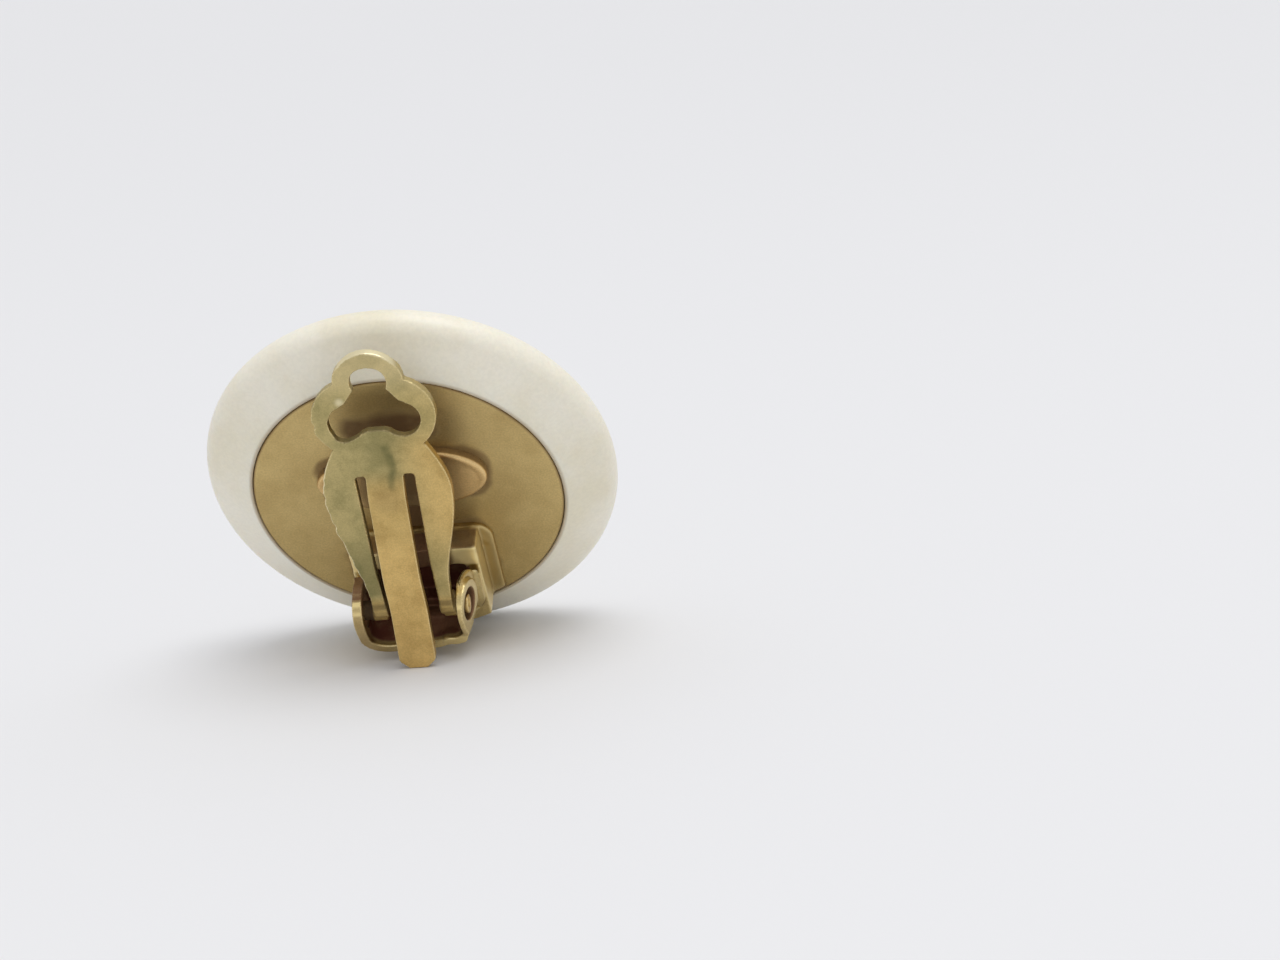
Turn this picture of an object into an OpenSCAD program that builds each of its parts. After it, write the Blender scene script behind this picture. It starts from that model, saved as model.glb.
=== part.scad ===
// Round button earring with a hinged clip on its back.
// It rests as it lies when it is not worn: on the lower rim of the button and
// on the end of the clip's tongue, with its back tipped forward.
//
// Each piece is drawn in the button's own frame: x to the right, y up the
// disc, z out of the plate's back face. placed() stands the whole earring up.

/* [Button] */
// Outside diameter of the button
button_d = 30; // [28:0.5:32]
// Thickness from the plate's face to the top of the front dome
button_t = 7.6; // [7:0.2:9]
// Radius of the rounded rim
rim_r = 1.45; // [1.3:0.05:1.7]
// Depth of the widest line of the rim below the plate's face
rim_depth = 2.85; // [2.7:0.05:3]

/* [Back plate] */
// Diameter of the round metal plate
plate_d = 22.4; // [22:0.1:23]
// Thickness of the plate
plate_t = 0.9; // [0.7:0.1:1.2]
// Clearance between the plate and its seat, all round
seat_gap = 0.1; // [0.05:0.05:0.2]
// Width of the raised oval tablet
tablet_w = 12.4; // [11.6:0.2:13]
// Height of the raised oval tablet
tablet_h = 5.2; // [4.8:0.1:5.8]
// How far the tablet stands up from the plate
tablet_t = 0.75; // [0.6:0.05:1.3]
// Height of the tablet's middle above the plate's middle
tablet_y = 2.3; // [2.1:0.1:3]

/* [Boss and cradle] */
// Width of the rectangular boss
boss_w = 9.1; // [8.8:0.1:9.6]
// How far the boss stands up from the plate
boss_t = 2.5; // [2.2:0.1:2.7]
// Height of the boss's upper side, from the plate's middle
boss_top = -3; // [-3.2:0.1:-2.8]
// Thickness of the flange round the boss's foot
flange_t = 0.35; // [0.2:0.05:0.6]
// How far the flange reaches beyond the boss's sides
flange_out = 0.95; // [0.6:0.05:1.2]
// Outside width of the clip cradle
cradle_w = 8.8; // [8.6:0.1:9.2]
// Thickness of the cradle's metal
cradle_t = 0.75; // [0.6:0.05:0.8]
// Radius of the round holes in the two ears
hole_r = 0.87; // [0.85:0.01:0.9]

/* [Clip paddle] */
// Thickness of the clip's sheet
sheet_t = 0.7; // [0.6:0.05:0.8]
// Slope of the sheet towards the plate, in degrees
sheet_tilt = 12.5; // [12:0.25:13]
// Distance of the sheet's outer face from the plate, level with the plate's middle
sheet_z = 5.35; // [5.2:0.05:5.5]
// Half the width of the body at its shoulders
shoulder_w = 4.58; // [4.4:0.02:4.7]
// Half the width of the waist under the ring
waist_w = 3.35; // [3.1:0.05:3.6]
// Half the width of the two legs at their feet
foot_w = 2.95; // [2.8:0.05:3.1]
// Width of the spring tongue
tongue_w = 2.7; // [2.5:0.1:2.8]
// Slope of the tongue away from the plate, in degrees
tongue_tilt = 17.5; // [17:0.25:18]
// Height of the tongue's end, from the plate's middle
tongue_end = -8.35; // [-8.45:0.05:-8.25]
// Radius of the lugs that turn in the ears
lug_r = 0.8; // [0.77:0.01:0.8]

/* [Hidden] */
$fn = 96;

// Button profile: rim circle, and the tangents to it from the seat and dome
seat_r = plate_d / 2 + seat_gap;
lip_r = seat_r + 0.05;
rim_x = button_d / 2 - rim_r;
lip_gap = norm([lip_r - rim_x, rim_depth]);
lip_turn = atan2(rim_depth, lip_r - rim_x) - acos(rim_r / lip_gap);
crown = button_t - rim_depth;
dome_r = (rim_x * rim_x + crown * crown - rim_r * rim_r) / (2 * (crown - rim_r));
dome_z = dome_r - button_t;
dome_dir = [rim_x, -rim_depth - dome_z] / norm([rim_x, rim_depth + dome_z]);
dome_edge = [rim_x, -rim_depth] + rim_r * dome_dir;

// Clip sheet: heights measured along the sheet from level with the middle
foot_s = -5.15;
shoulder_s = 4.8;
waist_s = 8.5;
slot_s = 6.25;
lobe_s = 10.96;
ring_s = 13.67;
slot_half = 2.12;
leg_gap = 1.9;

// Rolled ends of the legs, just inside the sheet's outer face
roll_r = 0.85;
roll_in = roll_r + 0.04;
roll_y = foot_s * cos(sheet_tilt) - roll_in * sin(sheet_tilt);
roll_z = sheet_z - foot_s * sin(sheet_tilt) - roll_in * cos(sheet_tilt);

// Hinge axis: below and a little behind the middle of the rolls
pivot_y = roll_y - 0.43;
pivot_z = roll_z - 0.1;

// Cradle: web at the bottom, ears round the hinge axis
web_y = -9.5;
web_t = 0.8;
web_z = 6.55;
ear_r = 1.75;

// Tongue: level where it leaves the sheet and where its straight run starts
bend_top = 6.7;
bend_end = 4.5;
root_in = 0.04;
tongue_z0 = 6.38;
tip_z = tongue_z0 - tongue_end * tan(tongue_tilt);

// Rest: rim and tongue end on the ground
rest_a = rim_x + tongue_end;
rest_b = rim_depth + tip_z;
lean = atan2(rest_a, rest_b) + asin(rim_r / norm([rest_a, rest_b]));
lift = rim_x * cos(lean) - rim_depth * sin(lean) + rim_r;
top_s = ring_s + 2.5;
top_y = top_s * cos(sheet_tilt);
top_z = sheet_z - top_s * sin(sheet_tilt);
front_y = rim_x * sin(lean) + rim_depth * cos(lean) + rim_r;
back_y = -top_y * sin(lean) - top_z * cos(lean);
shift = -(front_y + back_y) / 2;

// Stands a piece up from the button's frame
module placed() {
    translate([0, shift, lift])
        rotate([90 + lean, 0, 0])
            children();
}

// Extrudes a side view, drawn as y and z, from x0 to x1
module side(x0, x1) {
    translate([x0, 0, 0])
        rotate([90, 0, 90])
            linear_extrude(x1 - x0)
                children();
}

// Both halves of something that is drawn on the right
module both() {
    children();
    mirror([1, 0, 0])
        children();
}

// Rectangle with its two lower corners rounded, x from -w to w
module trough(w, y0, y1, r) {
    translate([-w, y0 + r])
        square([2 * w, y1 - y0 - r]);
    translate([-w + r, y0])
        square([2 * (w - r), r + 0.01]);
    for (k = [-1, 1])
        translate([k * (w - r), y0 + r])
            circle(r);
}

// Half view of the button, radius against height: seat lip, sloping back,
// rim and dome
module button_half() {
    rim_steps = 12;
    dome_steps = 10;
    rim_end = atan2(dome_dir[1], dome_dir[0]);
    dome_half = atan2(dome_edge[0], dome_z - dome_edge[1]);
    polygon(concat(
        [[0, 0], [lip_r, 0]],
        [for (k = [0:rim_steps])
            let (a = lip_turn + (rim_end - lip_turn) * k / rim_steps)
            [rim_x + rim_r * cos(a), -rim_depth + rim_r * sin(a)]],
        [for (k = [1:dome_steps])
            let (a = dome_half * (1 - k / dome_steps))
            [dome_r * sin(a), dome_z - dome_r * cos(a)]]
    ));
}

// Resin button: domed front, rounded rim, sloping back, shallow seat
module button() {
    color("#e6ddc6")
        placed()
            difference() {
                rotate_extrude($fn = 192)
                    button_half();
                translate([0, 0, -plate_t - 0.05])
                    cylinder(h = plate_t + 1, r = seat_r, $fn = 192);
            }
}

// Oval tablet: long elliptical ends, flat with a stepped edge
module tablet() {
    end_l = 4.6;
    end_r = tablet_h / 2;
    for (step = [[0, tablet_t - 0.3], [0.25, tablet_t]])
        translate([0, tablet_y, -0.1])
            linear_extrude(step[1] + 0.1) {
                for (k = [-1, 1])
                    translate([k * (tablet_w / 2 - end_l), 0])
                        scale([(end_l - step[0]) / (end_r - step[0]), 1])
                            circle(end_r - step[0]);
                square([tablet_w - 2 * end_l, tablet_h - 2 * step[0]], center = true);
            }
}

// Rectangular boss on a thin flange with round upper corners, both cut off by
// the plate's round edge below, and a shallow pocket inside the cradle
module boss() {
    difference() {
        intersection() {
            union() {
                translate([0, 0, -0.1])
                    linear_extrude(flange_t + 0.1)
                        rotate(180)
                            trough(boss_w / 2 + flange_out, -boss_top - 0.15, 12, 1.4);
                translate([-boss_w / 2, boss_top - 9, -0.1])
                    cube([boss_w, 9, boss_t + 0.1]);
            }
            translate([0, 0, -0.1])
                cylinder(h = boss_t + 1, r = plate_d / 2 - 0.25, $fn = 192);
        }
        translate([-3.5, -8, boss_t - 1.2])
            cube([7, 3.3, 2]);
    }
}

// Side view of one ear and the web, as y and z
module ear_view() {
    translate([pivot_y, pivot_z])
        circle(ear_r);
    translate([pivot_y - 0.4, pivot_z - 0.6])
        circle(2.3);
    polygon([
        [web_y, boss_t - 0.3],
        [web_y, web_z],
        [pivot_y - 0.42, pivot_z + 1.699],
        [pivot_y, pivot_z],
        [pivot_y - 0.4, pivot_z - 2.9],
        [pivot_y - 1.5, boss_t - 0.3]
    ]);
}

// Stamped U-shaped cradle on the boss: two ears and a web notched for the tongue
module cradle() {
    difference() {
        intersection() {
            translate([0, 0, boss_t - 0.3])
                linear_extrude(10)
                    difference() {
                        trough(cradle_w / 2, web_y, 0, 1.7);
                        trough(cradle_w / 2 - cradle_t, web_y + web_t, 1, 1.7 - cradle_t);
                    }
            side(-cradle_w, cradle_w)
                ear_view();
        }
        side(-cradle_w, cradle_w)
            translate([pivot_y, pivot_z])
                circle(hole_r);
        translate([-tongue_w / 2 - 0.3, web_y - 1, 4.1])
            cube([tongue_w + 0.6, web_t + 1.3, 5]);
    }
}

// Fixed brass fitting: plate, tablet, boss and cradle in one
module back_plate() {
    color("#a8925c")
        placed() {
            translate([0, 0, -plate_t])
                cylinder(h = plate_t, r = plate_d / 2, $fn = 192);
            tablet();
            boss();
            cradle();
        }
}

// Half the width of the clip's body at height s along the sheet
function body_half(s) =
    s > shoulder_s
        ? waist_w + (shoulder_w - waist_w) * sin(90 * (waist_s - s) / (waist_s - shoulder_s))
        : foot_w + (shoulder_w - foot_w) * (1 + cos(180 * min(1, (shoulder_s - s) / 9.1))) / 2;

// Outline of the body from the feet of the legs to the waist
module body_outline() {
    steps = [for (k = [0:24]) foot_s + (waist_s - foot_s) * k / 24];
    polygon(concat(
        [for (s = steps) [body_half(s), s]],
        [for (k = [24:-1:0]) [-body_half(steps[k]), steps[k]]]
    ));
}

// Three-lobed ring, outside
module ring_outline() {
    translate([0, ring_s])
        circle(2.5);
    for (k = [-1, 1])
        translate([k * 1.42, lobe_s])
            circle(2.97);
}

// Three-lobed hole in the ring: pinched above the two lower lobes, with a flat
// tooth between them
module ring_hole() {
    translate([0, ring_s])
        circle(1.28);
    for (k = [-1, 1])
        translate([k * 1.97, lobe_s - 0.34])
            circle(1.3);
    polygon([
        [-0.6, lobe_s - 1.06],
        [0.6, lobe_s - 1.06],
        [1.2, lobe_s - 1.3],
        [2.7, lobe_s + 0.74],
        [1.9, lobe_s + 1.2],
        [1.12, ring_s - 0.5],
        [-1.12, ring_s - 0.5],
        [-1.9, lobe_s + 1.2],
        [-2.7, lobe_s + 0.74],
        [-1.2, lobe_s - 1.3]
    ]);
}

// Space between the two legs, where the tongue is cut free
module leg_space() {
    polygon([
        [-leg_gap, foot_s - 2],
        [leg_gap, foot_s - 2],
        [slot_half, slot_s - 0.25],
        [slot_half - 0.25, slot_s],
        [-slot_half + 0.25, slot_s],
        [-slot_half, slot_s - 0.25]
    ]);
    for (k = [-1, 1])
        translate([k * (slot_half - 0.25), slot_s - 0.25])
            circle(0.25);
}

// Distance of the tongue's outer face from the plate, at height y
function sheet_face(y) = sheet_z - y * tan(sheet_tilt);
function tongue_line(y) = tongue_z0 - y * tan(tongue_tilt);
function ease(t) = t * t * (3 - 2 * t);
function tongue_face(y) =
    let (t = ease(max(0, min(1, (bend_top - y) / (bend_top - bend_end)))))
    (sheet_face(y) - root_in) * (1 - t) + tongue_line(y) * t;

// Raised spring tongue with a rounded, flat-tipped end
module tongue() {
    steps = concat(
        [for (k = [0:11]) bend_top + 0.3 - k * (bend_top + 0.3 - bend_end) / 11],
        [tongue_end - 0.5]
    );
    last = len(steps) - 1;
    low = (sheet_t - 2 * root_in) / cos(tongue_tilt);
    intersection() {
        side(-tongue_w / 2, tongue_w / 2)
            polygon(concat(
                [for (y = steps) [y, tongue_face(y)]],
                [for (k = [last:-1:0]) [steps[k], tongue_face(steps[k]) - low]]
            ));
        translate([0, 0, -1])
            linear_extrude(14)
                intersection() {
                    translate([-3, tongue_end])
                        square([6, 20]);
                    union() {
                        translate([0, tongue_end + 1.3])
                            circle(1.5);
                        translate([-3, tongue_end + 1.3])
                            square([6, 20]);
                    }
                }
    }
}

// Moving clip: ring, body, legs with rolled ends, tongue, and the hinge's lugs
module clip_paddle() {
    color("#b9ad80")
        placed() {
            translate([0, 0, sheet_z])
                rotate([-sheet_tilt, 0, 0])
                    translate([0, 0, -sheet_t])
                        linear_extrude(sheet_t)
                            difference() {
                                union() {
                                    body_outline();
                                    ring_outline();
                                }
                                ring_hole();
                                leg_space();
                            }
            tongue();
            both() {
                side(leg_gap, foot_w)
                    translate([roll_y, roll_z])
                        circle(roll_r);
                side(leg_gap + 0.2, cradle_w / 2 - 0.05)
                    translate([pivot_y, pivot_z])
                        circle(lug_r);
            }
        }
}

button();
back_plate();
clip_paddle();
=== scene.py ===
import math

import bmesh
import bpy
from mathutils import Matrix, Vector, noise


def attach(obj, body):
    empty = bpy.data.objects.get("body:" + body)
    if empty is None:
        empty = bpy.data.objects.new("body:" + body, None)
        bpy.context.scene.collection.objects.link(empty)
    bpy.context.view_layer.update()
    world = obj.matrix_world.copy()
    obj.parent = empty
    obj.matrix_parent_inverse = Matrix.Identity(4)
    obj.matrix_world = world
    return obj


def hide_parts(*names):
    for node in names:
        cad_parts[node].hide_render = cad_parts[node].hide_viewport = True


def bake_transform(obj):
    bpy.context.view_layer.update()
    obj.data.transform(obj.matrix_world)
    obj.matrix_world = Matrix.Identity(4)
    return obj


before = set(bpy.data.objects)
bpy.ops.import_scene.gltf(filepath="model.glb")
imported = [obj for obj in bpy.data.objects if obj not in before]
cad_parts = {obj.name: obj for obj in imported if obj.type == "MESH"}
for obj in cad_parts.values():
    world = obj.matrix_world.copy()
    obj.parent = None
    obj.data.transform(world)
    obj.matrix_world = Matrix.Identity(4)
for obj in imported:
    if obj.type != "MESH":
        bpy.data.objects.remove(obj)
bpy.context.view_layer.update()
scene = bpy.context.scene
print("frame loaded")

# How the disc stands, in degrees and millimetres. Every piece is drawn in the
# disc's own frame (x right, y up the disc, z out of the back) and then placed.
stand = dict(lean=30.0977, lift=11.7439, shift=-0.5967)
discToWorld = (
    Matrix.Scale(0.001, 4)
    @ Matrix.Translation((0, stand["shift"], stand["lift"]))
    @ Matrix.Rotation(math.radians(90 + stand["lean"]), 4, "X")
)


def fade(value, low, high):
    # 0 at low, 1 at high, with a soft start and end
    t = max(0.0, min(1.0, (value - low) / (high - low)))
    return t * t * (3 - 2 * t)


def addPiece(bm, name, body, material, nodes, sharp=None, normals=None):
    bm.transform(discToWorld)
    mesh = bpy.data.meshes.new(name)
    bm.to_mesh(mesh)
    bm.free()
    for polygon in mesh.polygons:
        polygon.use_smooth = True
    if sharp:
        mesh.set_sharp_from_angle(angle=math.radians(sharp))
    if normals:
        turn = discToWorld.to_3x3()
        mesh.normals_split_custom_set_from_vertices([(turn @ n).normalized() for n in normals])
    mesh.materials.append(material)
    piece = bpy.data.objects.new(name, mesh)
    scene.collection.objects.link(piece)
    if body:
        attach(piece, body)
    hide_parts(*nodes)
    return piece


def copyNode(name):
    # a copy of a CAD node, merged and brought into the disc's frame
    bm = bmesh.new()
    bm.from_mesh(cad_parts[name].data)
    bm.transform(discToWorld.inverted())
    bmesh.ops.remove_doubles(bm, verts=bm.verts, dist=0.0008)
    bmesh.ops.recalc_face_normals(bm, faces=bm.faces)
    return bm


def softened(bm, voxel, rounds):
    # worn and tumbled metal: an even skin whose corners are all a little round
    mesh = bpy.data.meshes.new("rough")
    bm.to_mesh(mesh)
    bm.free()
    rough = bpy.data.objects.new("rough", mesh)
    scene.collection.objects.link(rough)
    skin = rough.modifiers.new("Remesh", "REMESH")
    skin.mode = "VOXEL"
    skin.voxel_size = voxel
    smooth = rough.modifiers.new("Smooth", "SMOOTH")
    smooth.factor = 0.5
    smooth.iterations = rounds
    bpy.context.view_layer.update()
    evaluated = rough.evaluated_get(bpy.context.evaluated_depsgraph_get())
    soft = bpy.data.meshes.new_from_object(evaluated)
    out = bmesh.new()
    out.from_mesh(soft)
    bpy.data.objects.remove(rough)
    bpy.data.meshes.remove(mesh)
    bpy.data.meshes.remove(soft)
    return out


def markWear(bm, gain):
    # how far each point stands proud of its neighbours: edges above 0, corners below
    layer = bm.verts.layers.float.new("wear")
    bm.normal_update()
    bulge = {}
    for v in bm.verts:
        ring = [e.other_vert(v).co for e in v.link_edges]
        middle = sum(ring, Vector()) / len(ring)
        spread = sum((c - v.co).length for c in ring) / len(ring)
        bulge[v] = (v.co - middle).dot(v.normal) / max(spread, 1e-6)
    for v in bm.verts:
        near = [bulge[e.other_vert(v)] for e in v.link_edges]
        v[layer] = gain * (bulge[v] + sum(near) / len(near)) / 2


def markZone(bm, name, rule):
    # a named zone of a piece, from 0 to 1, by place and direction
    layer = bm.verts.layers.float.new(name)
    bm.normal_update()
    for v in bm.verts:
        v[layer] = rule(v.co, v.normal)


def lathe(profile, steps):
    # turns a profile of (radius, depth) points round the disc's axis
    bm = bmesh.new()
    chain = [bm.verts.new((r, 0, z)) for r, z in profile]
    for a, b in zip(chain, chain[1:]):
        bm.edges.new((a, b))
    bmesh.ops.spin(bm, geom=bm.verts[:] + bm.edges[:], cent=(0, 0, 0), axis=(0, 0, 1),
                   angle=math.tau, steps=steps, use_merge=True, use_duplicate=False)
    bmesh.ops.remove_doubles(bm, verts=bm.verts, dist=0.0005)
    bmesh.ops.recalc_face_normals(bm, faces=bm.faces)
    return bm


def arc(cx, cz, radius, start, end, count):
    return [(cx + radius * math.cos(math.radians(start + (end - start) * k / count)),
             cz + radius * math.sin(math.radians(start + (end - start) * k / count)))
            for k in range(count + 1)]


def tint(r, g, b):
    # a colour as a picture shows it, 0 to 255, made linear
    return tuple((c / 255 / 12.92) if c < 11 else ((c / 255 + 0.055) / 1.055) ** 2.4
                 for c in (r, g, b)) + (1.0,)


def put(tree, kind, values=None, **settings):
    # a new node, its inputs set to values or linked to other nodes' sockets
    made = tree.nodes.new(kind)
    for key, value in settings.items():
        setattr(made, key, value)
    for key, value in (values or {}).items():
        if isinstance(value, bpy.types.NodeSocket):
            tree.links.new(value, made.inputs[key])
        else:
            made.inputs[key].default_value = value
    return made


def mixColours(tree, amount, first, second):
    return put(tree, "ShaderNodeMix", {0: amount, 6: first, 7: second}, data_type="RGBA").outputs[2]


def sums(tree, operation, first, second, clamp=False):
    return put(tree, "ShaderNodeMath", {0: first, 1: second}, operation=operation,
               use_clamp=clamp).outputs[0]


def ramped(tree, value, low, high, atLow=0.0, atHigh=1.0):
    return put(tree, "ShaderNodeMapRange", {0: value, 1: low, 2: high, 3: atLow, 4: atHigh},
               interpolation_type="SMOOTHSTEP").outputs[0]


def noisy(tree, place, scale, detail, rough):
    return put(tree, "ShaderNodeTexNoise",
               {"Vector": place, "Scale": scale, "Detail": detail, "Roughness": rough}).outputs[0]


def vectorMath(tree, operation, first, second=(0, 0, 0), out=0, third=(0, 0, 0)):
    return put(tree, "ShaderNodeVectorMath", {0: first, 1: second, 2: third},
               operation=operation).outputs[out]


def scaled(tree, first, amount):
    return put(tree, "ShaderNodeVectorMath", {0: first, 3: amount}, operation="SCALE").outputs[0]


def newGroup(name, ins, outs):
    group = bpy.data.node_groups.new(name, "ShaderNodeTree")
    for title, kind, value in ins:
        socket = group.interface.new_socket(name=title, in_out="INPUT", socket_type=kind)
        if value is not None:
            socket.default_value = value
    for title, kind in outs:
        group.interface.new_socket(name=title, in_out="OUTPUT", socket_type=kind)
    return group, put(group, "NodeGroupInput"), put(group, "NodeGroupOutput")


number, colour, vector = "NodeSocketFloat", "NodeSocketColor", "NodeSocketVector"

# Tarnished brass: blotches, rubbed edges, dirt in corners, fine grain, and the painted shade each
# piece marks, mixed in with its dirt
tarnishAndShade, tIn, tOut = newGroup(
    "tarnishAndShade",
    [("Place", vector, None), ("Metal", colour, None), ("Dull", colour, None),
     ("Rubbed", colour, None), ("Dirt And Shade Tint", colour, None), ("Wear", number, 0.0),
     ("Soil And Shade", number, 0.0), ("Blotch Size", number, 0.5), ("Blotches", number, 0.5),
     ("Grain Size", number, 9.0), ("Polish", number, 0.35)],
    [("Color", colour), ("Roughness", number), ("Height", number)],
)
blotch = noisy(tarnishAndShade, tIn.outputs["Place"], tIn.outputs["Blotch Size"], 5.0, 0.62)
blotch = sums(tarnishAndShade, "MULTIPLY", ramped(tarnishAndShade, blotch, 0.36, 0.66), tIn.outputs["Blotches"])
grain = noisy(tarnishAndShade, tIn.outputs["Place"], tIn.outputs["Grain Size"], 4.0, 0.65)
tone = mixColours(tarnishAndShade, blotch, tIn.outputs["Metal"], tIn.outputs["Dull"])
speck = ramped(tarnishAndShade, grain, 0.3, 0.7, 0.88, 1.08)
tone = scaled(tarnishAndShade, tone, speck)
rub = sums(tarnishAndShade, "MULTIPLY", ramped(tarnishAndShade, tIn.outputs["Wear"], 0.2, 1.0),
           ramped(tarnishAndShade, grain, 0.3, 0.62, 0.1, 0.8))
tone = mixColours(tarnishAndShade, rub, tone, tIn.outputs["Rubbed"])
# corners take dirt; each piece's own zones add more dirt and painted shade
corner = ramped(tarnishAndShade, tIn.outputs["Wear"], -0.15, -0.9)
soilAndShade = sums(tarnishAndShade, "MAXIMUM", corner, tIn.outputs["Soil And Shade"])
soilAndShade = sums(tarnishAndShade, "MULTIPLY", soilAndShade, ramped(tarnishAndShade, blotch, 0.0, 0.5, 0.9, 1.0), clamp=True)
tone = mixColours(tarnishAndShade, soilAndShade, tone, tIn.outputs["Dirt And Shade Tint"])
tarnishAndShade.links.new(tone, tOut.inputs["Color"])
shine = sums(tarnishAndShade, "ADD", tIn.outputs["Polish"], sums(tarnishAndShade, "MULTIPLY", blotch, 0.12))
shine = sums(tarnishAndShade, "ADD", shine, sums(tarnishAndShade, "MULTIPLY", soilAndShade, 0.22))
shine = sums(tarnishAndShade, "SUBTRACT", shine, sums(tarnishAndShade, "MULTIPLY", rub, 0.08))
tarnishAndShade.links.new(shine, tOut.inputs["Roughness"])
tarnishAndShade.links.new(grain, tOut.inputs["Height"])

# How far a point lies outside an upright box with rounded corners, in the disc's plane
around, aIn, aOut = newGroup(
    "aroundFoot",
    [("Place", vector, None), ("Middle", vector, None), ("Half", vector, None),
     ("Corner", number, 1.0)],
    [("Distance", number)],
)
offset = vectorMath(around, "SUBTRACT", aIn.outputs["Place"], aIn.outputs["Middle"])
offset = vectorMath(around, "ABSOLUTE", offset)
offset = vectorMath(around, "SUBTRACT", offset, aIn.outputs["Half"])
offset = vectorMath(around, "MAXIMUM", offset, (0, 0, 0))
offset = vectorMath(around, "MULTIPLY", offset, (1, 1, 0))
offset = vectorMath(around, "LENGTH", offset, out="Value")
around.links.new(sums(around, "SUBTRACT", offset, aIn.outputs["Corner"]), aOut.inputs["Distance"])


def newMaterial(name):
    material = bpy.data.materials.new(name)
    material.use_nodes = True
    tree = material.node_tree
    shader = tree.nodes["Principled BSDF"]
    coords = put(tree, "ShaderNodeTexCoord")
    # Object coordinates turned back into the disc's frame, in millimetres
    place = put(tree, "ShaderNodeMapping",
                {"Vector": coords.outputs["Object"],
                 "Location": (0, stand["shift"] / 1000, stand["lift"] / 1000),
                 "Rotation": (math.radians(90 + stand["lean"]), 0, 0),
                 "Scale": (0.001, 0.001, 0.001)}, vector_type="TEXTURE").outputs[0]
    return material, tree, shader, place


def bump(tree, shader, height, strength, distance):
    node = put(tree, "ShaderNodeBump", {"Height": height, "Strength": strength,
                                        "Distance": distance})
    tree.links.new(node.outputs[0], shader.inputs["Normal"])


def zone(tree, name):
    return put(tree, "ShaderNodeAttribute", attribute_name=name).outputs["Fac"]


def fromAxis(tree, place):
    # how far a point lies from the disc's axis
    flat = vectorMath(tree, "MULTIPLY", place, (1, 1, 0))
    return vectorMath(tree, "LENGTH", flat, out="Value")


def groupOf(tree, group, values):
    return put(tree, "ShaderNodeGroup", values, node_tree=group).outputs


# How far the outline of the dirt and painted shade round the feet wanders, how deep the dirt is in a
# seam, and how both dull the metal
grimeAndShade = dict(driftSize=0.45, drift=1.2, seam=0.55, dulls=0.5)


def brass(name, metal, dull, rubbed, dirtAndShadeTint, blotchSize, blotches, polish, grainSize=9.0,
          relief=0.25, second=None, tintedZones=(), feet=(), matt=0.0, edge=None):
    material, tree, shader, place = newMaterial(name)
    if second:  # another metal tone where the named zone is
        metal = mixColours(tree, zone(tree, second[0]), metal, second[1])
        dull = mixColours(tree, zone(tree, second[0]), dull, second[2])
    # dirt and painted shade marked on the piece, then painted shadow with some tarnish round its feet
    soilAndShade = zone(tree, "soilAndShade")
    if feet:
        drift = put(tree, "ShaderNodeTexNoise",
                    {"Vector": place, "Scale": grimeAndShade["driftSize"], "Detail": 1.0}).outputs["Color"]
        drift = vectorMath(tree, "SUBTRACT", drift, (0.5, 0.5, 0.5))
        drift = vectorMath(tree, "MULTIPLY_ADD", drift, (grimeAndShade["drift"],) * 3, third=place)
    for middle, half, cornerR, spread, depth in feet:  # painted shadow, with some tarnish, round what stands on it
        far = groupOf(tree, around, {"Place": drift, "Middle": middle, "Half": half,
                                     "Corner": cornerR})["Distance"]
        soilAndShade = sums(tree, "MAXIMUM", soilAndShade, ramped(tree, far, 0.0, spread, depth, 0.0))
    if edge:  # dirt in the seam at the rim, from edge[0] out to edge[1]
        rimDirt = ramped(tree, fromAxis(tree, place), edge[0], edge[1], 0.0, grimeAndShade["seam"])
        soilAndShade = sums(tree, "MAXIMUM", soilAndShade, rimDirt)
    metallic = sums(tree, "SUBTRACT", 1.0, sums(tree, "MULTIPLY", soilAndShade, grimeAndShade["dulls"]))
    if matt:  # where light is painted, less metal shine, so the spot reads brighter
        metallic = sums(tree, "SUBTRACT", metallic,
                        sums(tree, "MULTIPLY", zone(tree, "paintedLight"), matt), clamp=True)
    tree.links.new(metallic, shader.inputs["Metallic"])
    skin = groupOf(tree, tarnishAndShade, {
        "Place": place, "Metal": metal, "Dull": dull, "Rubbed": rubbed, "Dirt And Shade Tint": dirtAndShadeTint,
        "Wear": zone(tree, "wear"), "Soil And Shade": soilAndShade, "Blotch Size": blotchSize,
        "Blotches": blotches, "Grain Size": grainSize, "Polish": polish})
    tone = skin["Color"]
    # tinted zones, among them painted light
    for zoneName, zoneTint in tintedZones:
        tone = mixColours(tree, zone(tree, zoneName), tone, zoneTint)
    tree.links.new(tone, shader.inputs["Base Color"])
    tree.links.new(skin["Roughness"], shader.inputs["Roughness"])
    bump(tree, shader, skin["Height"], relief, 0.00003)
    return material


# Cream resin: faint yellow clouds, a fine grain, and dirt where it meets the plate
resinLook = dict(body=tint(240, 235, 219), warm=tint(232, 225, 202), seam=tint(150, 124, 84),
                 cloudSize=0.12, grainSize=3.5, seamRadius=(11.38, 11.65), seamDepth=(-1.4, -0.9))
resin, tree, shader, place = newMaterial("creamResin")
cloud = noisy(tree, place, resinLook["cloudSize"], 4.0, 0.6)
base = mixColours(tree, ramped(tree, cloud, 0.35, 0.7), resinLook["body"], resinLook["warm"])
fine = noisy(tree, place, resinLook["grainSize"], 4.0, 0.6)
base = scaled(tree, base, ramped(tree, fine, 0.3, 0.7, 0.965, 1.02))
depth = put(tree, "ShaderNodeSeparateXYZ", {0: place}).outputs[2]
seam = sums(tree, "MULTIPLY",
            ramped(tree, fromAxis(tree, place), *resinLook["seamRadius"], 0.6, 0.0),
            ramped(tree, depth, *resinLook["seamDepth"]))
base = mixColours(tree, seam, base, resinLook["seam"])
tree.links.new(base, shader.inputs["Base Color"])
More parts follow.
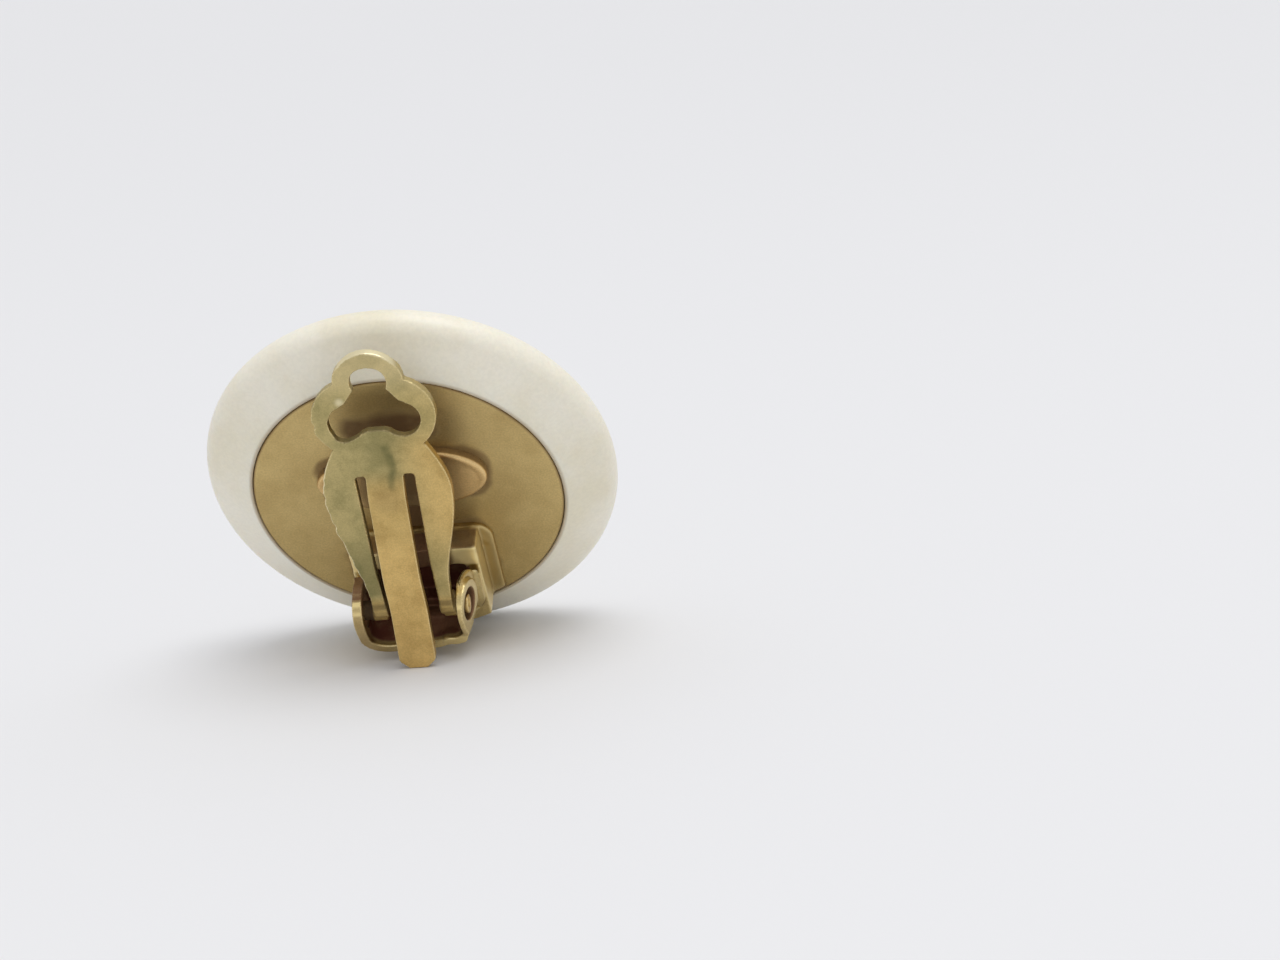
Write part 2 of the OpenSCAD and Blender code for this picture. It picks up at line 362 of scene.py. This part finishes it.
tree.links.new(ramped(tree, fine, 0.3, 0.7, 0.32, 0.42), shader.inputs["Roughness"])
shader.inputs["IOR"].default_value = 1.5
shader.inputs["Subsurface Weight"].default_value = 0.25
shader.inputs["Subsurface Radius"].default_value = (1.0, 0.8, 0.55)
shader.inputs["Subsurface Scale"].default_value = 0.0012
bump(tree, shader, fine, 0.06, 0.00003)

# feet: middle, half size, corner radius, spread and depth of the dark round each thing on the
# plate: painted shadow with some tarnish round the tablet and the boss, painted shadow and
# reflection in a band above the tablet, seen through the ring, and painted shade under the clip
plateLook = dict(
    metal=tint(210, 186, 128), dull=tint(190, 165, 110), rubbed=tint(228, 204, 148),
    dirtAndShadeTint=tint(102, 68, 38), blotchSize=0.22, blotches=0.7, polish=0.42, grainSize=7.0, relief=0.35,
    feet=(((0.1, 2.3, 0), (3.7, 0.1, 9), 2.4, 0.5, 0.6),
          ((0, -8, 0), (3.9, 4, 9), 1.3, 0.6, 0.5),
          ((0, 7.1, 0), (2.5, 0.1, 9), 0.4, 1.1, 0.85),
          ((0, -1.3, 0), (2.2, 1.6, 9), 0.2, 0.8, 0.85)),
    edge=(11.07, 11.22))
plateBrass = brass("satinPlateBrass", **plateLook)

# the tablet's dark tint is mostly painted shade
tabletLook = dict(
    metal=tint(224, 190, 132), dull=tint(204, 170, 114), rubbed=tint(240, 214, 158),
    dirtAndShadeTint=tint(96, 72, 40), blotchSize=0.5, blotches=0.6, polish=0.34, relief=0.25)
tabletBrass = brass("tabletBrass", **tabletLook)

# the cradle's dark tint is mostly painted shade, its pale tint painted light
fittingLook = dict(
    metal=tint(214, 192, 136), dull=tint(186, 164, 108), rubbed=tint(244, 226, 172),
    dirtAndShadeTint=tint(98, 50, 34), blotchSize=0.5, blotches=0.6, polish=0.32, relief=0.25, matt=0.65,
    tintedZones=(("paintedLight", tint(255, 232, 164)), ("flange", tint(182, 158, 106))))
fittingBrass = brass("cradleBrass", **fittingLook)

# the clip's dark tint is dirt and painted shade, its pale tint painted light
clipLook = dict(
    metal=tint(186, 170, 118), dull=tint(156, 146, 98), rubbed=tint(232, 212, 156),
    dirtAndShadeTint=tint(62, 44, 26), blotchSize=0.42, blotches=0.85, polish=0.33, relief=0.3,
    second=("gilt", tint(218, 186, 120), tint(194, 162, 100)),
    tintedZones=(("greyGreen", tint(88, 92, 58)), ("paintedLight", tint(244, 232, 192))))
clipBrass = brass("clipBrass", **clipLook)
print("materials made")

# Button: the rim's round is tangent to the dome in front and to the slope behind
button = dict(radius=15.0, thick=7.6, rimRound=1.45, rimDepth=2.85, seat=11.3, seatDepth=0.95,
              lip=11.4, steps=192)
rimX = button["radius"] - button["rimRound"]
crown = button["thick"] - button["rimDepth"]
domeR = (rimX ** 2 + crown ** 2 - button["rimRound"] ** 2) / (2 * (crown - button["rimRound"]))
domeZ = domeR - button["thick"]
domeAngle = math.degrees(math.atan2(-button["rimDepth"] - domeZ, rimX))
slopeAngle = math.degrees(math.atan2(button["rimDepth"], button["lip"] - rimX)
                          - math.acos(button["rimRound"]
                                      / math.hypot(button["lip"] - rimX, button["rimDepth"])))
profile = [(0, -button["seatDepth"]), (6, -button["seatDepth"]), (11.0, -button["seatDepth"])]
profile += arc(button["seat"] - 0.15, -button["seatDepth"] + 0.15, 0.15, -90, 0, 5)
profile += arc(button["seat"] + 0.1, -0.1, 0.1, 180, slopeAngle, 7)
rim = arc(rimX, -button["rimDepth"], button["rimRound"], slopeAngle, domeAngle, 28)
lipR, lipZ = profile[-1]
profile += [(lipR + (rim[0][0] - lipR) * k / 8, lipZ + (rim[0][1] - lipZ) * k / 8)
            for k in range(1, 8)]
profile += rim
domeHalf = math.degrees(math.asin(rim[-1][0] / domeR))
profile += arc(0, domeZ, domeR, -90 + domeHalf, -90, 22)[1:]
addPiece(lathe(profile, button["steps"]), "resinButton", "root", resin,
         ["button"], sharp=50)
print("button made")

plate = dict(radius=11.25, thick=0.9, edge=0.12, steps=192)
profile = [(0, 0), (4, 0), (8, 0), (10.9, 0)]
profile += arc(plate["radius"] - plate["edge"], -plate["edge"], plate["edge"], 90, 0, 6)
profile += [(plate["radius"], -plate["thick"]), (0, -plate["thick"])]
addPiece(lathe(profile, plate["steps"]), "backPlate", "root", plateBrass,
         ["back_plate"], sharp=50)

# Oval tablet: stadium with long elliptical ends, a round edge and a slightly sunk face
tablet = dict(width=12.4, height=5.2, thick=0.75, middle=2.3, endLength=4.6, round=0.3,
              sunk=0.02, border=0.12, narrow=0.12, under=0.1,
              cuts=(-4.0, -3.5, -3.0, -2.5, -2.1, 1.6, 2.0, 2.5, 3.0, 3.5))


def makeTablet():
    bm = bmesh.new()
    bmesh.ops.create_circle(bm, cap_ends=True, segments=128, radius=tablet["height"] / 2)
    stretch = tablet["endLength"] / (tablet["height"] / 2)
    reach = tablet["width"] / 2 - tablet["endLength"]
    for v in bm.verts:
        v.co.x = v.co.x * stretch + (reach if v.co.x > 0.001 else -reach if v.co.x < -0.001 else 0)
    top = bmesh.ops.extrude_face_region(bm, geom=bm.faces[:])["geom"]
    top = [f for f in top if isinstance(f, bmesh.types.BMFace)]
    bmesh.ops.translate(bm, verts=top[0].verts[:], vec=(0, 0, tablet["thick"] + tablet["under"]))
    bm.normal_update()
    bmesh.ops.bevel(bm, geom=top[0].edges[:], offset=tablet["round"], segments=8, profile=0.5,
                    affect="EDGES", material=-1)
    face = max(bm.faces, key=lambda f: f.calc_area() * (f.calc_center_median().z > 0.5))
    bmesh.ops.inset_region(bm, faces=[face], thickness=tablet["border"])
    bmesh.ops.inset_region(bm, faces=[face], thickness=0.15, depth=-tablet["sunk"])
    bmesh.ops.inset_region(bm, faces=[face], thickness=0.2)
    for x in tablet["cuts"]:  # points for the dirt to fade over
        geom = bm.verts[:] + bm.edges[:] + bm.faces[:]
        bmesh.ops.bisect_plane(bm, geom=geom, plane_co=(x, 0, 0), plane_no=(1, 0, 0))
    bmesh.ops.translate(bm, verts=bm.verts, vec=(0, tablet["middle"], -tablet["under"]))
    bmesh.ops.recalc_face_normals(bm, faces=bm.faces)

    # painted shade: under the clip's body and on the tablet's steep walls
    def paintedTabletShade(p, n):
        return max(0.8 * (1 - fade(abs(p.x + 0.3), 1.9, 3.7)), 0.6 * (1 - fade(n.z, 0.1, 0.4)))

    markZone(bm, "wear", lambda p, n: 0.5 * fade(p.z, 0.45, 0.65) * (1 - fade(n.z, 0.9, 0.99)))
    markZone(bm, "soilAndShade", paintedTabletShade)
    for v in bm.verts:  # the left end is the narrower one
        narrow = tablet["narrow"] * fade(-v.co.x, 2.0, 5.6)
        v.co.y += (tablet["middle"] - 0.1 - v.co.y) * narrow
    return bm


addPiece(makeTablet(), "ovalTablet", "root", tabletBrass, ["back_plate"], sharp=35)
print("plate made")

# Boss and cradle: the CAD node cut free of the plate, its web closed and drawn
# up, and the right ear bent inwards
cradle = dict(voxel=0.07, rounds=6, footRounds=14, uneven=0.07, root=0.02, skirt=0.3, split=-1.2,
              fillHalf=(1.95, 0.375, 1.3), fillMiddle=(0, -9.125, 5.25), webUp=0.45, lean=0.8,
              innerLean=0.42, earR=1.78, step=0.3, boreOut=0.3,
              lipWaves=((2.0, 0.75, 0.2), (-2.3, 0.6, -0.08)), leftOut=0.3)
hinge = dict(y=-5.65, z=5.5)  # where the hinge's axis runs in the disc's frame


def cradleZones(bm):
    def paintedCradleShade(p, n):  # painted shade inside, on the top face, behind the legs, in the bores and on the left ear's top
        inner = (1 - fade(abs(p.x), 3.68, 3.82)) * fade(p.z, 0.9, 1.3) * (1 - fade(p.z, 6.0, 6.45))
        inner *= fade(-p.y, 4.75, 4.95) * fade(p.y, -9.0, -8.8)
        upper = 0.55 * fade(n.y, 0.5, 0.8) * fade(p.z, 0.45, 0.7) * fade(p.y, -3.4, -3.1)
        leftTop = 0.85 * fade(-p.x, 3.3, 3.6) * fade(p.y, -5.1, -4.7) * fade(p.z, 2.8, 3.4)
        leftTop *= 1 - fade(n.z, 0.25, 0.5)
        out = Vector((p.y - hinge["y"], p.z - hinge["z"])).length
        bore = 0.85 * (1 - fade(out, 0.9, 1.02)) * fade(abs(p.x), 3.3, 3.5)
        behind = 0.85 * (1 - fade(abs(p.x), 2.5, 3.1)) * fade(p.z, 0.45, 0.8) * fade(p.y, -4.9, -4.7)
        # painted shade dims the bright left front edges
        dimmedEdge = 0.28 * fade(-p.x, 1.8, 3.4) * fade(n.z, 0.5, 0.8) * fade(p.z, 5.0, 6.0)
        return max(inner, upper, leftTop, bore, behind, dimmedEdge)

    def front(p, n):  # painted light: the front face, the sides, a highlight on the lip and the glint on the left ear
        face = 0.9 * fade(n.z, 0.6, 0.9) * fade(p.z, 2.2, 2.4) * fade(p.y, -4.8, -4.6)
        face *= fade(abs(p.x), 2.4, 3.0)
        left = 0.5 * fade(-n.x, 0.4, 0.8) * fade(-p.x, 3.6, 3.9) * (1 - fade(p.z, 4.2, 5.0))
        left = max(left, 0.4 * fade(n.x, 0.4, 0.8) * fade(p.x, 3.8, 4.2) * (1 - fade(p.z, 2.4, 3.0)))
        glint = 0.8 * fade(-p.x, 3.3, 3.6) * fade(n.z, 0.35, 0.45) * (1 - fade(n.z, 0.55, 0.65))
        glint *= fade(p.z, 5.5, 6.0) * fade(n.y, 0.3, 0.6)
        lip = 0.45 * fade(n.z, 0.5, 0.8) * fade(p.z, 5.8, 6.2) * fade(-p.y, 8.2, 8.5)
        return max(face, left * fade(p.z, 0.5, 0.8), glint, lip * fade(p.x, 0.6, 1.6))

    def flange(p, n):  # the thin foot of the boss
        return 0.75 * (1 - fade(p.z, 0.45, 0.7)) * fade(p.y, -9.6, -9.0)

    for name, rule in (("soilAndShade", paintedCradleShade), ("paintedLight", front), ("flange", flange)):
        markZone(bm, name, rule)


def makeCradle():
    bm = copyNode("back_plate")
    for point, normal in (((0, 0, cradle["root"]), (0, 0, -1)), ((0, cradle["split"], 0), (0, 1, 0))):
        geom = bm.verts[:] + bm.edges[:] + bm.faces[:]
        bmesh.ops.bisect_plane(bm, geom=geom, plane_co=point, plane_no=normal, clear_outer=True)
    openEdges = [e for e in bm.edges if e.is_boundary]
    skirt = bmesh.ops.extrude_edge_only(bm, edges=openEdges)["geom"]
    bmesh.ops.translate(bm, verts=[v for v in skirt if isinstance(v, bmesh.types.BMVert)],
                        vec=(0, 0, -cradle["skirt"]))
    bmesh.ops.holes_fill(bm, edges=[e for e in bm.edges if e.is_boundary], sides=0)
    bmesh.ops.recalc_face_normals(bm, faces=bm.faces)
    bmesh.ops.create_cube(bm, size=2.0, matrix=Matrix.Translation(cradle["fillMiddle"])
                          @ Matrix.Diagonal((*cradle["fillHalf"], 1.0)))
    bm = softened(bm, cradle["voxel"], cradle["rounds"])
    foot = [v for v in bm.verts if 0.1 < v.co.z < 0.6
            or (0.04 < v.co.z < 0.9 and abs(v.co.x) > 3.6)
            or (0.1 < v.co.z < 2.9 and v.co.y > -4.9 and abs(v.co.x) > 2.2)]
    for _ in range(cradle["footRounds"]):
        bmesh.ops.smooth_vert(bm, verts=foot, factor=0.5, use_axis_x=True, use_axis_y=True,
                              use_axis_z=True)
    markWear(bm, 7.0)
    cradleZones(bm)
    bendCradle(bm)
    return bm


def bendCradle(bm):
    bm.normal_update()
    for v in bm.verts:
        p = v.co
        cast = fade(p.y, -5.2, -4.8) * (1 - fade(p.z, 2.9, 3.2)) * fade(p.z, 0.05, 0.3)
        p += v.normal * cradle["uneven"] * cast * noise.noise(1.4 * p)
        web = fade(-p.y, 6.4, 8.7) * fade(p.z, 2.4, 4.0)
        lip = web * fade(p.z, 5.2, 6.3)
        side = fade(p.x, 1.2, 3.4)
        if abs(p.x) > 3.3 and p.z > 3:  # wider bores, and the right ear's disc standing proud
            out = Vector((p.y - hinge["y"], p.z - hinge["z"]))
            wide = cradle["boreOut"] * (1 - fade(out.length, 0.87, 1.45))
            p.y += out.x / max(out.length, 0.1) * wide
            p.z += out.y / max(out.length, 0.1) * wide
            if p.x > 4.0 and (p.z < hinge["z"] or p.y > hinge["y"]):
                p.x -= cradle["step"] * fade(out.length, cradle["earR"], cradle["earR"] + 0.15)
        for at, width, height in cradle["lipWaves"]:
            p.y += lip * height * math.exp(-((p.x - at) / width) ** 2)
        p.y += cradle["webUp"] * web + 0.25 * web * side
        bent = cradle["lean"] * max(0.0, (p.z - 3.0) / 4.2)  # thinner towards the top inside
        kept = min(bent, cradle["innerLean"])
        p.x -= side * (kept + (bent - kept) * fade(p.x, 3.6, 4.25))
        if p.z > 0.5:
            p.x -= cradle["leftOut"] * fade(-p.x, 3.6, 4.3) * (1 - fade(p.z, 3.0, 4.5))


addPiece(makeCradle(), "bossAndCradle", "root", fittingBrass, ["back_plate"])
print("cradle made")

# Clip: the CAD node made soft, with small nicks in its left edge, then parted
# into the stiff paddle and the spring tongue
clip = dict(voxel=0.066, rounds=6, tongueHalf=1.62, tongueTop=5.9, bowStart=(0, 4.0, 5.2),
            bowEnd=(0, -16.5, 11.6), rightLug=0.66, lugSlim=0.12, lugHollow=0.35, sideBow=0.15,
            topSlim=0.2, lobeAt=(-2.4, 8.9), lobeShift=(-0.18, -0.22), nicks=(0.10, 0.14),
            endRound=0.16)


def clipZones(bm):
    def gilt(p, n):  # where the warmer gilt is left
        tongue = (1 - fade(p.y, 4.6, 6.9)) * (1 - fade(abs(p.x), 1.5, 1.7))
        shoulder = 0.85 * fade(p.x, -0.6, 4.0) * (0.3 + 0.7 * fade(p.y, -2.0, 2.5))
        shoulder *= 1 - 0.7 * fade(p.y, 7.5, 10.0)
        ring = 0.22 * fade(p.y, 11.5, 15.0)
        feet = 0.6 * fade(-p.y, 3.6, 4.3)
        lugs = fade(abs(p.x), 3.05, 3.2) * fade(-p.y, 4.0, 4.6)
        return max(tongue, shoulder, ring, feet, lugs)

    def greyGreen(p, n):  # darker grey-green: a run between the slots, the left leg, the top
        wander = 0.58 + 0.2 * noise.noise(Vector((0, 0.8 * p.y, 5.0)))
        line = Vector((p.x - wander, 0.6 * max(0, abs(p.y - 6.9) - 1.2))).length
        broad = Vector((p.x - 0.35, 0.8 * (p.y - 8.1))).length
        patchy = 0.75 + 0.5 * noise.noise(1.6 * p)
        legs = 0.45 * fade(-p.y, -2.0, 1.5) * fade(-p.x, 1.7, 2.1) * (1 - fade(-p.y, 3.4, 3.8))
        top = 0.14 * (1 - fade(abs(p.x), 1.4, 1.6)) * fade(p.y, 0.0, 2.5) * (1 - fade(p.y, 4, 6))
        spots = 0.58 * (1 - fade(line, 0.05, 0.5)) + 0.26 * (1 - fade(broad, 0.4, 2.4))
        return max(patchy * spots, legs, top)

    def paintedLight(p, n):  # painted highlights: a glint at the left pinch, the ring's top, and the left edge, worn and painted lit
        pinch = 0.6 * (1 - fade(Vector((p.x + 2.2, p.y - 12.05)).length, 0.05, 0.5))
        ringTop = 0.9 * fade(p.y, 14.2, 15.1) * fade(n.y, 0.1, 0.6)
        ringTop = max(ringTop, 0.2 * fade(p.y, 11.5, 14.5))
        leftEdge = 0.9 * fade(-n.x, 0.15, 0.6) * fade(-p.x, 2.3, 2.8) * (1 - fade(p.y, 6.5, 8.0))
        return max(pinch, ringTop, leftEdge * fade(p.y, -4.5, -2.5))

    def soilAndShade(p, n):  # painted shade under the clip, on the hole's lower edges and round the lugs; darker in the crease and in a faint patch on the tongue
        under = 0.75 * fade(-n.z, 0.3, 0.8) * (1 - fade(p.y, 0, 6))
        under = max(under, 0.5 * fade(n.y, 0.3, 0.8) * fade(p.y, 5.5, 6.5) * (1 - fade(p.y, 9.8, 10.4))
                    * (1 - fade(abs(p.x), 3.0, 3.4)))
        blush = 0.2 * (1 - fade(Vector((0.7 * p.x, p.y - 4.5)).length, 0.3, 1.3)) * fade(n.z, 0.4, 0.7)
        crease = 0.4 * (1 - fade(abs(p.y + 4.55), 0.1, 0.35)) * (1 - fade(abs(p.x), 2.9, 3.0))
        lugs = 0.95 * fade(abs(p.x), 2.95, 3.1) * (1 - fade(abs(p.x), 3.9, 4.1))
        crease *= fade(abs(p.x), 1.7, 1.9)
        return max(under, crease, lugs * fade(-p.y, 4.0, 4.4), blush)

    for name, rule in (("gilt", gilt), ("greyGreen", greyGreen), ("paintedLight", paintedLight), ("soilAndShade", soilAndShade)):
        markZone(bm, name, rule)


def makeClip():
    bm = softened(copyNode("clip_paddle"), clip["voxel"], clip["rounds"])
    markWear(bm, 7.0)
    clipZones(bm)
    lobeX, lobeY = clip["lobeAt"]
    for v in bm.verts:
        p = v.co
        lobe = 1 - fade(Vector((p.x - lobeX, p.y - lobeY)).length, 0.2, 1.2)  # the left one
        p.y += clip["lobeShift"][1] * lobe
        p.x += clip["lobeShift"][0] * lobe
        p.x -= clip["sideBow"] * fade(p.y, -4.5, -1.0) * (1 - fade(p.y, 8.0, 14.0))
        p.y -= clip["topSlim"] * fade(p.y, 13.9, 15.0)
        if p.y > -3.5:
            nick = noise.noise(Vector((0.9 * p.x, 1.5 * p.y, 3.0)))
            edge = fade(-p.x, 2.6, 3.4)
            widest = fade(-p.x, 4.0, 4.4) * max(0, nick)
            p.x += clip["nicks"][0] * edge * nick + clip["nicks"][1] * widest
        if abs(p.x) > 3.05 and p.y < -3.5:
            hollow = 1 - fade(math.hypot(p.y - hinge["y"] - 0.2, p.z - hinge["z"] - 0.1), 0.12, 0.42)
            hollow *= clip["lugHollow"] * fade(abs(p.x), 3.9, 4.25)
            p.x -= math.copysign(hollow, p.x)
            slim = 1 - clip["lugSlim"] * fade(abs(p.x), 3.05, 3.4)
            p.y = hinge["y"] + (p.y - hinge["y"]) * slim
            p.z = hinge["z"] + (p.z - hinge["z"]) * slim
            if p.x > 0:
                p.x = 3.05 + (p.x - 3.05) * clip["rightLug"]
        elif p.y < -7.3:  # rounder corners at the tongue's end
            p.x *= 1 - clip["endRound"] * fade(-p.y, 7.5, 8.4) ** 2
    bm.normal_update()
    return bm


def partOf(whole, wanted):
    # the faces of a mesh that are wanted, with the normals of the whole
    bm = whole.copy()
    bm.verts.ensure_lookup_table()
    normals = [v.normal.copy() for v in whole.verts]
    index = bm.verts.layers.int.new("old")
    for k, v in enumerate(bm.verts):
        v[index] = k
    bmesh.ops.delete(bm, geom=[f for f in bm.faces if not wanted(f.calc_center_median())],
                     context="FACES")
    kept = [normals[v[index]] for v in bm.verts]
    bm.verts.layers.int.remove(bm.verts.layers.int["old"])
    return bm, kept


def onTongue(p):
    return abs(p.x) < clip["tongueHalf"] and p.y < clip["tongueTop"]


wholeClip = makeClip()
paddle, paddleNormals = partOf(wholeClip, lambda p: not onTongue(p))
addPiece(paddle, "clipPaddle", "clip", clipBrass, ["clip_paddle"],
         normals=paddleNormals)
tongue, tongueNormals = partOf(wholeClip, onTongue)
wholeClip.free()
spring = addPiece(tongue, "springTongue", None, clipBrass, ["clip_paddle"],
                  normals=tongueNormals)
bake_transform(spring)
print("clip made")

# A pale paper floor under an even studio light
stage = dict(size=3.0, colour=(0.775, 0.775, 0.785, 1.0), sky=(0.96, 0.965, 0.985, 1.0), skyPower=0.72)
floorMesh = bmesh.new()
bmesh.ops.create_grid(floorMesh, x_segments=8, y_segments=8, size=stage["size"])
floorData = bpy.data.meshes.new("floor")
floorMesh.to_mesh(floorData)
floorMesh.free()
floor = bpy.data.objects.new("floor", floorData)
scene.collection.objects.link(floor)
paper = bpy.data.materials.new("palePaper")
paper.use_nodes = True
paper.node_tree.nodes["Principled BSDF"].inputs["Base Color"].default_value = stage["colour"]
paper.node_tree.nodes["Principled BSDF"].inputs["Roughness"].default_value = 0.8
floorData.materials.append(paper)

world = bpy.data.worlds.new("studio")
world.use_nodes = True
sky = world.node_tree.nodes["Background"]
sky.inputs[0].default_value = stage["sky"]
sky.inputs[1].default_value = stage["skyPower"]
scene.world = world
scene.view_settings.view_transform = "Standard"


def addLamp(name, kind, place, aim, energy, **settings):
    light = bpy.data.lights.new(name, kind)
    light.energy = energy
    for key, value in settings.items():
        setattr(light, key, value)
    lamp = bpy.data.objects.new(name, light)
    lamp.location = place
    lamp.rotation_euler = (Vector(aim) - Vector(place)).to_track_quat("-Z", "Y").to_euler()
    scene.collection.objects.link(lamp)


addLamp("ceiling", "SUN", (0.12, -0.03, 0.6), (0, 0, 0), 1.05, angle=math.radians(50))
addLamp("windowGlint", "AREA", (0.12, -0.1, 0.4), (0, 0, 0.01), 0.12, shape="SQUARE", size=0.12)

view = dict(place=(0.04171, -0.19398, 0.05797), turn=(76.617, 5.734, 5.948), lens=78.75)
cameraData = bpy.data.cameras.new("camera")
cameraData.lens = view["lens"]
cameraData.sensor_width = 36.0
cameraData.clip_start = 0.01
camera = bpy.data.objects.new("camera", cameraData)
camera.location = view["place"]
camera.rotation_euler = [math.radians(a) for a in view["turn"]]
scene.collection.objects.link(camera)
scene.camera = camera
print("stage, lights and camera made")
